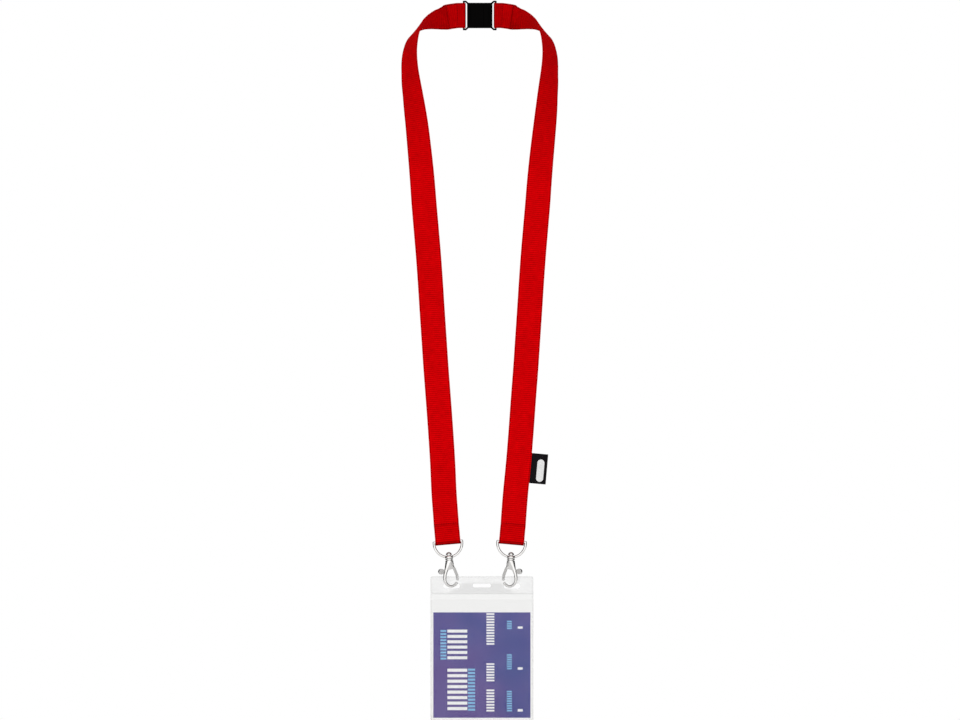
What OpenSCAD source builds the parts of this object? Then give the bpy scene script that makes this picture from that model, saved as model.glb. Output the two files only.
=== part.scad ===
// Lanyard badge holder: 20 mm neck webbing with a breakaway buckle, two swivel
// lobster hooks and a clear vinyl badge holder that hangs from both hooks.
// It is stored hanging as worn: +Z up, the front towards -Y, +X to the right.
// The origin is the middle of the neck rest, level with the neck webbing's lower edge.

/* [Webbing] */
// width of the webbing
web_w = 20; // [15:1:25]
// thickness of one ply
web_t = 0.9; // [0.7:0.1:1.4]
// how far both front runs bow to the right halfway down
bow = 0.9; // [0:0.1:3]
// depth at which the neck length runs behind the shoulders
neck_y = 24; // [10:1:50]
// depth at which the front runs and the badge hang
hang_y = -12; // [-30:1:0]

/* [Breakaway buckle] */
// length of the body across both halves
buckle_len = 20.2; // [16:0.1:26]
// height of the body
buckle_h = 20.2; // [16:0.1:24]
// thickness of the body
buckle_t = 5.6; // [4:0.1:8]
// radius of the webbing bars and their arms
bar_r = 0.7; // [0.6:0.05:1.2]
// where the plug meets the socket, from the buckle's centre
seam_x = 3; // [0:0.5:6]

/* [Ring and swivel] */
// radius of the ring wire
ring_r = 1; // [0.7:0.05:1.2]
// radius of the ring's bend, to the wire's centre
ring_bend = 11.1; // [10.5:0.1:13]
// straight leg between the bar and the bend
ring_leg = 1.2; // [0:0.1:4]
// height of the ring bars
ring_z = -407.5; // [-450:0.5:-300]
// distance of each ring bar's centre from the middle
ring_x = 25.3; // [20:0.1:40]
// how far the left ring leans in
lean_left = 4.3; // [0:0.1:6]
// how far the right ring leans in
lean_right = 2.3; // [0:0.1:6]
// radius of the swivel boss
boss_r = 3.3; // [2.8:0.1:4]
// radius of the swivel post
post_r = 1.3; // [1:0.05:1.6]

/* [Hook] */
// radius of the wire-like claw
claw_r = 1.1; // [0.8:0.05:1.4]
// radius of the claw's bend, to the wire's centre
claw_bend = 5.5; // [4:0.1:6.5]
// how far the hook is turned out of the badge's plane
hook_turn = 25; // [20:1:90]
// width of the slit that the trigger moves in
slit_w = 1.7; // [1.4:0.1:2.4]
// thickness of the trigger plate
trig_t = 1.4; // [1:0.1:2]
// radius of the trigger pin
pin_r = 0.8; // [0.6:0.05:1]

/* [Badge holder] */
// width of the vinyl sheets
holder_w = 82; // [60:1:110]
// height of the back sheet
holder_h = 115; // [80:1:160]
// how far the badge hangs to the right of the middle
holder_x = 1.7; // [-3:0.1:3]
// height of the back sheet's top edge
holder_top = -434.8; // [-480:0.1:-300]
// distance from the top edge down to the pocket's mouth
header_h = 13.5; // [10:0.5:25]
// thickness of each vinyl sheet
sheet_t = 0.5; // [0.3:0.05:0.8]
// gap between the sheets
pocket_gap = 1.4; // [0.8:0.1:3]
// width of the sealed edge
weld_w = 1.8; // [1:0.1:4]
// length of the middle slot
mid_slot_l = 14.5; // [10:0.5:20]
// height of the middle slot
mid_slot_h = 2.8; // [2:0.1:5]
// length of each hook slot
hook_slot_l = 13; // [8:0.5:20]
// height of each hook slot
hook_slot_h = 3.6; // [3:0.1:6]
// distance of each hook slot from the middle slot
hook_slot_x = 24; // [18:0.5:34]
// distance from the top edge down to the slots
slot_drop = 6.1; // [4:0.1:10]

/* [Card and label] */
// width of the card
card_w = 78; // [50:1:100]
// height of the card
card_h = 84.6; // [50:0.1:130]
// thickness of the card
card_t = 0.8; // [0.3:0.1:1]
// width of the side label, away from the webbing
label_w = 13; // [8:0.5:20]
// height of the side label
label_h = 24; // [12:0.5:35]
// height of the label's middle
label_z = -349; // [-380:1:-100]

/* [Hidden] */
$fn = 48;
// webbing route on the right: x, y, z and turn. At a turn of 180 the outer face looks
// back, at 90 the webbing is edge-on over the shoulder, and at 0 it looks to the front.
neck_route = [
    [19, 24.5, 10.6, 180],
    [22, 24.5, 10.2, 180],
    [25, 24.5, 9.7, 180],
    [27, 24.4, 9.2, 168],
    [29, 24.1, 8.8, 156],
    [31, 23.6, 8.5, 149],
    [33, 22.9, 8.2, 142],
    [35, 22, 7.9, 136],
    [37, 21, 7.5, 130],
    [39.1, 19.8, 6.9, 124],
    [41.3, 18.5, 6.2, 117],
    [43.5, 16.9, 5.2, 110],
    [45.6, 15, 3.9, 104],
    [47.8, 12.9, 2.3, 97]
];
front_route = [
    [49.6, 10.8, 0.2, 88],
    [51.8, 7.4, -3.6, 78],
    [53.7, 4, -8.2, 70],
    [55, 0.8, -13.8, 63],
    [55.8, -2, -20, 57],
    [55.9, -4.4, -27, 52],
    [55.5, -6.4, -34, 48],
    [54.8, -8.1, -42, 42],
    [53.6, -9.6, -52, 37],
    [52.4, -10.8, -63, 31],
    [51, -11.6, -75, 26],
    [49.4, -12.2, -90, 21],
    [47.8, -12.5, -106, 16],
    [46.4, -12.5, -122, 11],
    [45.2, -12.5, -138, 6],
    [43.5, -12.5, -158, 2],
    [41.8, -12.5, -178, 0],
    [40.2, -12.5, -200, 0],
    [38.8, -12.5, -222, 0],
    [37.2, -12.5, -246, 0],
    [35.6, -12.5, -270, 0],
    [33.7, -12.5, -295, 0],
    [31.9, -12.5, -320, 0],
    [30.1, -12.5, -345, 0],
    [28.3, -12.5, -370, 0],
    [26.9, -12.5, -388.5, 0],
    [26.4, -12.5, -395.5, 0]
];
strap_tilt = 5;
ring_clear = 0.5;
ply_gap = 0.1;
ring_fold_r = ring_r + ring_clear;
buckle_fold_r = bar_r + 0.06;
neck_z = 10.8;
bar_x = buckle_len / 2 + 0.06 + web_t + bar_r + 1;
claw_x = -0.4;
claw_z = -29.95;
pivot = [1.8, -18.4];
boss_z = -(ring_leg + ring_bend);
pocket_h = holder_h - header_h;
holder_bottom = holder_top - holder_h;
front_y = hang_y - sheet_t / 2 - pocket_gap - sheet_t;

red = [0.75, 0.01, 0.03];
nickel = [0.78, 0.78, 0.77];
vinyl = [0.9, 0.92, 0.93, 0.45];

// ---------- ribbon sweep ----------

function unit(v) = v / norm(v);

function reverse(v) = [for (i = [len(v) - 1 : -1 : 0]) v[i]];

function spot(p) = [p[0], p[1], p[2]];

// 0 at a, 1 at b and smooth between them
function ease(x, a, b) = let (t = min(max((x - a) / (b - a), 0), 1)) t * t * (3 - 2 * t);

// the front run's route on one side, bowed to the right between the shoulder and the ring
function bowed(side) = [for (p = front_route)
    [p[0] + side * bow * ease(-p[2], 30, 80) * ease(-p[2], 375, 330), p[1], p[2], p[3]]];

// Every station of a ribbon is [place, direction across the webbing].
function route_station(p, i) =
    let (
        t = unit(spot(p[min(i + 1, len(p) - 1)]) - spot(p[max(i - 1, 0)])),
        side = unit([-t[2], 0, t[0]]),
        w = cos(p[i][3]) * side + sin(p[i][3]) * [0, 1, 0]
    )
    [spot(p[i]), unit(w - (w * t) * t)];

function route_stations(p) = [for (i = [0 : len(p) - 1]) route_station(p, i)];

// the direction of travel at station i
function travel(st, i) = unit(st[min(i + 1, len(st) - 1)][0] - st[max(i - 1, 0)][0]);

// the second ply beside a stretch of route, on its inner face
function ply_behind(st) = [for (i = [0 : len(st) - 1])
    [st[i][0] - cross(travel(st, i), st[i][1]) * (web_t + ply_gap), st[i][1]]];

// Webbing round a bar at place o. It arrives against direction up on the outer side, goes
// round at radius r and leaves along up on the inner side. The plies close over length l.
function fold_stations(o, up, outer, wide, r, l) =
    let (
        close = (web_t + ply_gap) / 2,
        mid = r + web_t / 2,
        lead = [for (k = [0 : 4]) let (d = 1 - k / 5)
            [d * l, close + (mid - close) * (1 + cos(180 * d)) / 2]]
    )
    concat(
        [for (q = lead) [o + up * q[0] + outer * q[1], wide]],
        [for (k = [0 : 8])
            [o - up * mid * sin(22.5 * k) + outer * mid * cos(22.5 * k), wide]],
        [for (q = reverse(lead)) [o + up * q[0] - outer * q[1], wide]]
    );

// the four corners of the webbing's section at each station
function rings(st) = [for (i = [0 : len(st) - 1])
    let (
        t = st[i][2],
        a = unit(st[i][1] - (st[i][1] * t) * t) * web_w / 2,
        n = cross(unit(a), t) * web_t / 2,
        c = st[i][0]
    )
    each [c + a + n, c - a + n, c - a - n, c + a - n]];

module ribbon(st) {
    n = len(st);
    sides = [for (i = [0 : n - 2]) for (k = [0 : 3])
        let (a = 4 * i + k, b = 4 * i + (k + 1) % 4)
        each (k < 2 ? [[a, b, b + 4], [a, b + 4, a + 4]] : [[a, b, a + 4], [b, b + 4, a + 4]])];
    e = 4 * (n - 1);
    caps = [[2, 1, 0], [3, 2, 0], [e, e + 1, e + 2], [e, e + 2, e + 3]];
    polyhedron(rings(st), concat(sides, caps), convexity = 10);
}

ring_up = [sin(strap_tilt), 0, cos(strap_tilt)];
ring_across = [cos(strap_tilt), 0, -sin(strap_tilt)];
ring_bar = [ring_x, hang_y, ring_z];
buckle_bar = [bar_x, neck_y, neck_z];
neck_st = route_stations(concat(neck_route, [front_route[0]]));

// from the free end at the buckle to the top of the shoulder
neck_part = concat(
    reverse(ply_behind([for (i = [0 : 2]) neck_st[i]])),
    reverse(fold_stations(buckle_bar, [1, 0, 0], [0, 1, 0], [0, 0, -1], buckle_fold_r, 4.5)),
    [for (i = [0 : len(neck_st) - 2]) neck_st[i]]);

// the whole webbing on one side, from its free end at the buckle to that behind the ring
function strap_path(side) =
    let (
        st = route_stations(bowed(side)),
        first = [st[0][0], (neck_st[len(neck_st) - 1][1] + st[0][1]) / 2],
        all = concat(
            neck_part, [first], [for (i = [1 : len(st) - 1]) st[i]],
            fold_stations(ring_bar, ring_up, [0, -1, 0], ring_across, ring_fold_r, 10),
            reverse(ply_behind([for (i = [len(st) - 2 : len(st) - 1]) st[i]]))
        )
    )
    [for (i = [0 : len(all) - 1]) [all[i][0], all[i][1], travel(all, i)]];

// the stations where one part of the webbing ends and the next begins
cut_shoulder = len(neck_part);
cut_upper = cut_shoulder + 9;
cut_lower = cut_shoulder + 17;

module strap(side, a, b) color(red) mirror([side < 0 ? 1 : 0, 0, 0])
    let (all = strap_path(side)) ribbon([for (i = [a : min(b, len(all) - 1)]) all[i]]);

module strap_left_neck() strap(-1, 0, cut_shoulder);
module strap_left_shoulder() strap(-1, cut_shoulder, cut_upper);
module strap_left_upper() strap(-1, cut_upper, cut_lower);
module strap_left_lower() strap(-1, cut_lower, 1000);
module strap_right_neck() strap(1, 0, cut_shoulder);
module strap_right_shoulder() strap(1, cut_shoulder, cut_upper);
module strap_right_upper() strap(1, cut_upper, cut_lower);
module strap_right_lower() strap(1, cut_lower, 1000);

// a row of thread bars across the webbing, on both faces, at a place d up from the bar
module stitch_row(n = 9) {
    step = (web_w - 3) / n;
    for (s = [-1, 1]) for (i = [0 : n - 1])
        translate([(i - (n - 1) / 2) * step, s * (web_t + ply_gap / 2 + 0.14), 0])
            cube([step * 0.72, 0.22, 0.4], center = true);
}

module ring_stitches() translate(ring_bar + ring_up * 14.5) rotate([0, strap_tilt, 0]) stitch_row();

module buckle_stitches() translate([bar_x + 4.9, neck_y, neck_z]) rotate([0, 90, 0]) stitch_row();

module stitch_rows() color([0.6, 0, 0.02]) {
    ring_stitches();
    mirror([1, 0, 0]) ring_stitches();
    mirror([1, 0, 0]) buckle_stitches();
}

module stitch_rows_plug() color([0.6, 0, 0.02]) buckle_stitches();

// ---------- breakaway buckle ----------

module rounded(w, h, r) {
    square([w - 2 * r, h], center = true);
    square([w, h - 2 * r], center = true);
    for (x = [-1, 1]) for (y = [-1, 1]) translate([x * (w / 2 - r), y * (h / 2 - r)]) circle(r);
}

// block from x0 to x1 with its long edges rounded
module buckle_block(x0, x1, t, h, r)
    translate([x0, neck_y, neck_z]) rotate([90, 0, 90]) linear_extrude(x1 - x0) rounded(t, h, r);

module rod(p, q, r) {
    v = q - p;
    translate(p) rotate([0, acos(v[2] / norm(v)), atan2(v[1], v[0])]) cylinder(h = norm(v), r = r);
}

// the open frame that holds a webbing bar, on the +X side
module bar_frame() {
    z1 = web_w / 2 + 0.4 + bar_r;
    for (s = [-1, 1]) {
        root = [buckle_len / 2 - 1.2, neck_y, neck_z + s * (buckle_h / 2 - 1)];
        knee = [buckle_len / 2 + 1, neck_y, neck_z + s * z1];
        corner = [bar_x, neck_y, neck_z + s * z1];
        rod(root, knee, bar_r);
        rod(knee, corner, bar_r);
        for (p = [knee, corner]) translate(p) sphere(bar_r + 0.05);
    }
    translate([bar_x, neck_y, neck_z - z1]) cylinder(h = 2 * z1, r = bar_r);
}

module buckle_socket() color([0.05, 0.05, 0.055]) {
    difference() {
        buckle_block(-buckle_len / 2, seam_x, buckle_t, buckle_h, 1.4);
        buckle_block(-6.4, seam_x + 1, 2.6, 14.6, 0.6);
        buckle_block(seam_x - 0.7, seam_x + 1, 1.2, 19.4, 0.3);
        for (s = [-1, 1]) translate([-3.6, neck_y, neck_z + s * 7.6]) cube([3.4, 1.6, 5], center = true);
        for (s = [-1, 1]) for (x = [-8.2, -7]) translate([x, neck_y + s * buckle_t / 2, neck_z])
            cube([0.5, 0.5, 13], center = true);
    }
    mirror([1, 0, 0]) bar_frame();
}

module buckle_plug() color([0.05, 0.05, 0.055]) {
    difference() {
        buckle_block(seam_x + 0.05, buckle_len / 2, buckle_t, buckle_h, 1.4);
        for (s = [-1, 1]) for (x = [7, 8.2]) translate([x, neck_y + s * buckle_t / 2, neck_z])
            cube([0.5, 0.5, 13], center = true);
    }
    buckle_block(-3.5, seam_x + 0.2, 2, 3.6, 0.5);
    buckle_block(seam_x - 1.2, seam_x + 0.2, 2.2, 14.2, 0.5);
    buckle_block(seam_x - 0.6, seam_x + 0.2, 1, 19.2, 0.3);
    for (s = [-1, 1]) {
        translate([(seam_x - 5) / 2, neck_y, neck_z + s * 5.9]) cube([seam_x + 5.4, 2, 2], center = true);
        translate([-4.2, neck_y, neck_z + s * 6.6]) rotate([90, 0, 0])
            cylinder(h = 1.2, r = 0.55, center = true);
    }
    bar_frame();
}

// ---------- ring, swivel and hook ----------
// These are drawn about their own ring bar's centre and placed by at_ring or at_hook.

module at_ring(side, lean) translate([side * ring_x, hang_y, ring_z])
    rotate([0, side * lean, 0]) mirror([side < 0 ? 1 : 0, 0, 0]) children();

// the hook's own plane is XZ with its claw's back towards +X, turned about the post
module at_hook(side, lean) at_ring(side, lean) rotate([0, 0, -hook_turn]) children();

module d_ring() color(nickel) difference() {
    union() {
        rotate([0, 90, 0]) cylinder(h = 2 * ring_bend, r = ring_r, center = true);
        for (s = [-1, 1]) translate([s * ring_bend, 0, 0]) {
            sphere(ring_r);
            translate([0, 0, -ring_leg]) cylinder(h = ring_leg, r = ring_r);
        }
        translate([0, 0, -ring_leg]) rotate([90, 0, 0]) rotate([0, 0, 180])
            rotate_extrude(angle = 180) translate([ring_bend, 0]) circle(ring_r);
        translate([0, 0, boss_z]) rotate_extrude() polygon([
            [0, -1.1], [boss_r - 0.6, -1.1], [boss_r, -0.5], [boss_r, 0.5], [boss_r - 0.7, 1.2], [0, 1.2]]);
    }
    translate([0, 0, boss_z - 2]) cylinder(h = 4, r = post_r + 0.05);
}

module swivel_post() color(nickel) {
    translate([0, 0, boss_z - 4]) cylinder(h = 6, r = post_r);
    translate([0, 0, boss_z + 1.7]) intersection() {
        sphere(2.4);
        translate([-3, -3, 0]) cube([6, 6, 3]);
    }
}

// x runs towards the claw's back, so the gate is at negative x
module claw() {
    translate([claw_x, 0, claw_z]) rotate([90, 0, 0]) rotate([0, 0, -140])
        rotate_extrude(angle = 140) translate([claw_bend, 0]) circle(claw_r);
    tip = [claw_x - claw_bend * cos(40), 0, claw_z - claw_bend * sin(40)];
    translate(tip) sphere(claw_r + 0.1);
    translate([claw_x + claw_bend, 0, claw_z - 0.3]) cylinder(h = 2, r = claw_r + 0.05);
}

module hook_body() color(nickel) difference() {
    union() {
        translate([0, 0, boss_z - 2.1]) cylinder(h = 0.9, r = 3.1);
        translate([0, 0, boss_z - 3]) cylinder(h = 1, r = 2.3);
        hull() {
            translate([0, 0, boss_z - 3.2]) cylinder(h = 0.6, r = 3);
            translate([2.9, 0, -21.5]) sphere(1.7, $fn = 32);
            translate([-2.1, 0, -20.2]) sphere(1.6, $fn = 32);
        }
        hull() {
            translate([3.2, 0, -22.2]) sphere(1.6, $fn = 32);
            translate([4.6, 0, -25.8]) sphere(1.35, $fn = 32);
        }
        hull() {
            translate([4.5, 0, -25.3]) sphere(1.28, $fn = 28);
            translate([claw_x + claw_bend, 0, claw_z + 1.2]) sphere(1.2, $fn = 28);
        }
        claw();
    }
    for (s = [-1, 1]) rod([-1.3, s * 3.25, -14.7], [-1.5, s * 1.95, -23], 0.6);
    translate([0, 0, boss_z - 5]) cylinder(h = 6, r = post_r);
    translate([-9, -slit_w / 2, -25]) cube([18, slit_w, 8.9]);
    translate([-pivot[0], 0, pivot[1]]) rotate([90, 0, 0]) cylinder(h = 10, r = pin_r, center = true);
}

// a straight arm with round ends, in the hook's plane
module arm(p, q, r) {
    v = q - p;
    n = [-v[1], v[0]] / norm(v) * r * 0.93;
    polygon([p + n, q + n, q - n, p - n]);
    translate(p) circle(r);
    translate(q) circle(r);
}

module plate(t) rotate([90, 0, 0]) linear_extrude(t, center = true) children();

module trigger() color(nickel) difference() {
    union() {
        plate(trig_t) {
            hub = [-pivot[0], pivot[1]];
            translate(hub) circle(1.7);
            arm(hub, [-3.9, -22], 1);
            arm([-3.9, -22], [-5.7, -27], 1);
            arm([-5.7, -27], [-6, -30.3], 0.95);
            arm(hub, [3.8, -22.2], 0.9);
            arm([3.8, -22.2], [6.4, -23], 0.8);
        }
        translate([7.8, 0, -23.3]) rotate([90, 0, 0]) cylinder(h = 2.4, r = 2.2, center = true);
    }
    translate([-pivot[0], 0, pivot[1]]) rotate([90, 0, 0]) cylinder(h = 10, r = pin_r + 0.04, center = true);
    translate([-pivot[0], -0.1, pivot[1]]) rotate([90, 0, 0]) cylinder(h = 2, r = 2.1);
}

module trigger_pin() color(nickel)
    translate([-pivot[0], 0, pivot[1]]) rotate([90, 0, 0]) cylinder(h = 3.2, r = pin_r, center = true);

module trigger_spring() color([0.6, 0.6, 0.6])
    translate([-pivot[0], -0.47, pivot[1]]) rotate([90, 0, 0]) {
        rotate_extrude() translate([1.3, 0]) circle(0.22, $fn = 16);
        for (a = [35, 145]) rotate([0, 0, a]) translate([1.3, 0, 0]) rotate([0, 90, 0])
            cylinder(h = 0.7, r = 0.2, $fn = 16);
    }

module d_ring_left() at_ring(-1, lean_left) d_ring();
module d_ring_right() at_ring(1, lean_right) d_ring();
module swivel_post_left() at_ring(-1, lean_left) swivel_post();
module swivel_post_right() at_ring(1, lean_right) swivel_post();
module hook_body_left() at_hook(-1, lean_left) hook_body();
module hook_body_right() at_hook(1, lean_right) hook_body();
module trigger_left() at_hook(-1, lean_left) trigger();
module trigger_right() at_hook(1, lean_right) trigger();
module trigger_pin_left() at_hook(-1, lean_left) trigger_pin();
module trigger_pin_right() at_hook(1, lean_right) trigger_pin();
module trigger_spring_left() at_hook(-1, lean_left) trigger_spring();
module trigger_spring_right() at_hook(1, lean_right) trigger_spring();

// ---------- badge holder ----------

module stadium(l, h) {
    square([l - h, h], center = true);
    for (s = [-1, 1]) translate([s * (l - h) / 2, 0]) circle(h / 2);
}

// draws in the badge's plane: x from its middle, y up from its bottom edge
module upright(y, t) translate([holder_x, y + t / 2, holder_bottom])
    rotate([90, 0, 0]) linear_extrude(t, center = true) children();

module sheet_outline(h, r) translate([0, h / 2]) rounded(holder_w, h, r);

module holder_back_sheet() color(vinyl) upright(hang_y - sheet_t / 2, sheet_t) difference() {
    sheet_outline(holder_h, 2);
    translate([0, holder_h - slot_drop - mid_slot_h / 2]) stadium(mid_slot_l, mid_slot_h);
    for (s = [-1, 1]) translate([s * hook_slot_x, holder_h - slot_drop - hook_slot_h / 2])
        stadium(hook_slot_l, hook_slot_h);
}

module holder_front_sheet() color(vinyl) upright(front_y, sheet_t) difference() {
    sheet_outline(pocket_h, 2);
    translate([-holder_w, pocket_h - 0.01]) square([2 * holder_w, 5]);
}

module holder_weld() color(vinyl) upright(front_y + sheet_t, pocket_gap) difference() {
    sheet_outline(pocket_h, 2);
    translate([weld_w - holder_w / 2, weld_w]) square([holder_w - 2 * weld_w, pocket_h]);
}

module card_insert() color([0.4, 0.4, 0.58])
    upright(front_y + sheet_t + (pocket_gap - card_t) / 2, card_t)
    translate([0, weld_w + 0.3 + card_h / 2]) rounded(card_w, card_h, 0.6);

// ---------- side label ----------

module at_label() translate([40.4, -12, label_z]) rotate([0, strap_tilt, 0]) children();

module side_label() color([0.06, 0.06, 0.07]) at_label()
    translate([-2.4, 0, -label_h / 2]) cube([label_w + 2.4, 0.9, label_h]);

module label_mark() color([0.9, 0.9, 0.9]) at_label() translate([label_w / 2 + 1.3, -0.02, -1.4])
    rotate([90, 0, 0]) linear_extrude(0.14) rotate([0, 0, 90]) stadium(17.8, 5.6);

strap_left_neck();
strap_left_shoulder();
strap_left_upper();
strap_left_lower();
strap_right_neck();
strap_right_shoulder();
strap_right_upper();
strap_right_lower();
stitch_rows();
stitch_rows_plug();
buckle_socket();
buckle_plug();
d_ring_left();
d_ring_right();
swivel_post_left();
swivel_post_right();
hook_body_left();
hook_body_right();
trigger_left();
trigger_right();
trigger_pin_left();
trigger_pin_right();
trigger_spring_left();
trigger_spring_right();
holder_back_sheet();
holder_front_sheet();
holder_weld();
card_insert();
side_label();
label_mark();
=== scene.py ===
"""Lanyard badge holder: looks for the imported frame.

Objects are in metres, hanging as worn, front towards -Y. Routes and small shapes are worked out in mm.
"""
import math

import bpy
import numpy as np
from mathutils import Matrix, Vector


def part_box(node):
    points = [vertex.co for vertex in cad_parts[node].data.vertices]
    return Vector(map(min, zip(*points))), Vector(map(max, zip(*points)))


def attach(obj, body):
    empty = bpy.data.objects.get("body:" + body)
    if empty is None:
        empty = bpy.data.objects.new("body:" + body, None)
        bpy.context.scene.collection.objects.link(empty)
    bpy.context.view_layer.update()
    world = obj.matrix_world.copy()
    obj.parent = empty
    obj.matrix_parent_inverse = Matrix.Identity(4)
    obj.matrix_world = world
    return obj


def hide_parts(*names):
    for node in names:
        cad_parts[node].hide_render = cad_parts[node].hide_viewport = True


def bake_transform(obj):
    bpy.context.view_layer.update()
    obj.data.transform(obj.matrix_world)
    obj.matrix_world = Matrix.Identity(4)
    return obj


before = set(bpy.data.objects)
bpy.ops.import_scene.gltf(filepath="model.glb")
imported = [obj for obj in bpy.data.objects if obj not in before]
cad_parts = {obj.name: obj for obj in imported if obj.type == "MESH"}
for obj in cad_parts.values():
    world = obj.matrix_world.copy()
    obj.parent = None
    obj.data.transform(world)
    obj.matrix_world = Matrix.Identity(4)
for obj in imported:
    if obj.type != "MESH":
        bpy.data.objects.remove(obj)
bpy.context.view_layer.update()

MM = 0.001

# -------------------------------------------------------- camera

CAMERA_LENS = 1000.0         # mm: almost no perspective, as in a catalogue picture
SENSOR_WIDTH = 36.0          # mm
FRAME_WIDTH = 0.7622         # width of the view at the object, m
FRAME_MIDDLE = (0.0002, -0.2632)   # x and z at the middle of the view, m
OBJECT_Y = -0.012            # depth at which the view has that width, m

cam_data = bpy.data.cameras.new("view_camera")
cam_data.lens = CAMERA_LENS
cam_data.sensor_width = SENSOR_WIDTH
cam_data.clip_start, cam_data.clip_end = 1.0, 60.0
camera = bpy.data.objects.new("view_camera", cam_data)
bpy.context.scene.collection.objects.link(camera)
camera.location = (FRAME_MIDDLE[0], OBJECT_Y - FRAME_WIDTH * CAMERA_LENS / SENSOR_WIDTH, FRAME_MIDDLE[1])
camera.rotation_euler = (math.radians(90), 0, 0)
bpy.context.scene.camera = camera

# -------------------------------------------------------- webbing routes, mm, as in the CAD source

WEB_W, WEB_T, PLY_GAP = 20.0, 0.9, 0.1          # width, thickness, and the gap between folded plies
BOW = 0.9                                       # how far both front runs bow towards +X
BOW_TOP, BOW_END = (30, 80), (375, 330)         # depths below the origin where the bow grows and dies away
NECK_Y, NECK_Z, HANG_Y = 24.0, 10.8, -12.0      # the buckle's place, and the chest plane
RING_X, RING_Z, TILT = 25.3, -407.5, math.radians(5)   # the ring's bar, and how far its webbing leans
BAR_X = 12.76                                   # the buckle's bar
RING_FOLD_R, BUCKLE_FOLD_R = 1.5, 0.76          # inner radius of the folds round the bars
RING_FOLD_LENGTH, BUCKLE_FOLD_LENGTH = 10, 4.5  # from the bar to where the plies close
LEAD_STEPS, ARC_STEPS = 5, 8                    # stations in each leg of a fold, and round its bar

# each point is x, y, z and the webbing's turn about its own length, in degrees
NECK_ROUTE = [
    (19, 24.5, 10.6, 180), (22, 24.5, 10.2, 180), (25, 24.5, 9.7, 180), (27, 24.4, 9.2, 168),
    (29, 24.1, 8.8, 156), (31, 23.6, 8.5, 149), (33, 22.9, 8.2, 142), (35, 22, 7.9, 136),
    (37, 21, 7.5, 130), (39.1, 19.8, 6.9, 124), (41.3, 18.5, 6.2, 117), (43.5, 16.9, 5.2, 110),
    (45.6, 15, 3.9, 104), (47.8, 12.9, 2.3, 97)]
FRONT_ROUTE = [
    (49.6, 10.8, 0.2, 88), (51.8, 7.4, -3.6, 78), (53.7, 4, -8.2, 70), (55, 0.8, -13.8, 63),
    (55.8, -2, -20, 57), (55.9, -4.4, -27, 52), (55.5, -6.4, -34, 48), (54.8, -8.1, -42, 42),
    (53.6, -9.6, -52, 37), (52.4, -10.8, -63, 31), (51, -11.6, -75, 26), (49.4, -12.2, -90, 21),
    (47.8, -12.5, -106, 16), (46.4, -12.5, -122, 11), (45.2, -12.5, -138, 6), (43.5, -12.5, -158, 2),
    (41.8, -12.5, -178, 0), (40.2, -12.5, -200, 0), (38.8, -12.5, -222, 0), (37.2, -12.5, -246, 0),
    (35.6, -12.5, -270, 0), (33.7, -12.5, -295, 0), (31.9, -12.5, -320, 0), (30.1, -12.5, -345, 0),
    (28.3, -12.5, -370, 0), (26.9, -12.5, -388.5, 0), (26.4, -12.5, -395.5, 0)]


def unit(v):
    return v / np.linalg.norm(v)


def route_stations(route):
    """[(place, direction across the webbing)] for each route point."""
    p = [np.array(q[:3], float) for q in route]
    out = []
    for i, q in enumerate(route):
        t = unit(p[min(i + 1, len(p) - 1)] - p[max(i - 1, 0)])
        side = unit(np.array([-t[2], 0, t[0]]))
        turn = math.radians(q[3])
        w = math.cos(turn) * side + math.sin(turn) * np.array([0.0, 1.0, 0.0])
        out.append((p[i], unit(w - (w @ t) * t)))
    return out


def ply_behind(st):
    """The second ply, on the inner face of a stretch of route."""
    out = []
    for i, (c, w) in enumerate(st):
        t = unit(st[min(i + 1, len(st) - 1)][0] - st[max(i - 1, 0)][0])
        out.append((c - np.cross(t, w) * (WEB_T + PLY_GAP), w))
    return out


def fold_stations(o, up, outer, wide, r, length):
    """Webbing round a bar at o: in on the outer side, round at radius r, and back on the inner side."""
    close, mid = (WEB_T + PLY_GAP) / 2, r + WEB_T / 2
    lead = []
    for k in range(LEAD_STEPS):
        left = 1 - k / LEAD_STEPS
        lead.append((left * length, close + (mid - close) * (1 + math.cos(math.pi * left)) / 2))
    out = [(o + up * a + outer * b, wide) for a, b in lead]
    for k in range(ARC_STEPS + 1):
        t = math.radians(180 / ARC_STEPS * k)
        out.append((o - up * mid * math.sin(t) + outer * mid * math.cos(t), wide))
    return out + [(o + up * a - outer * b, wide) for a, b in reversed(lead)]


X, Y, Z = np.eye(3)
ring_up = np.array([math.sin(TILT), 0, math.cos(TILT)])
ring_across = np.array([math.cos(TILT), 0, -math.sin(TILT)])
ring_bar = np.array([RING_X, HANG_Y, RING_Z])
buckle_bar = np.array([BAR_X, NECK_Y, NECK_Z])

neck_st = route_stations(NECK_ROUTE + [FRONT_ROUTE[0]])
neck_part = (ply_behind(neck_st[:3])[::-1]
             + fold_stations(buckle_bar, X, Y, -Z, BUCKLE_FOLD_R, BUCKLE_FOLD_LENGTH)[::-1]
             + neck_st[:-1])


def ease(x, a, b):
    """0 at a and 1 at b, with a smooth start and end."""
    t = min(max((x - a) / (b - a), 0), 1)
    return t * t * (3 - 2 * t)


def strap_path(side):
    """The whole webbing on one side, before it is mirrored: both front runs bow towards +X."""
    bowed = [(x + side * BOW * ease(-z, *BOW_TOP) * ease(-z, *BOW_END), y, z, turn)
             for x, y, z, turn in FRONT_ROUTE]
    st = route_stations(bowed)
    first = (st[0][0], unit(neck_st[-1][1] + st[0][1]))
    return (neck_part + [first] + st[1:]
            + fold_stations(ring_bar, ring_up, -Y, ring_across, RING_FOLD_R, RING_FOLD_LENGTH)
            + ply_behind(st[-2:])[::-1])


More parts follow.
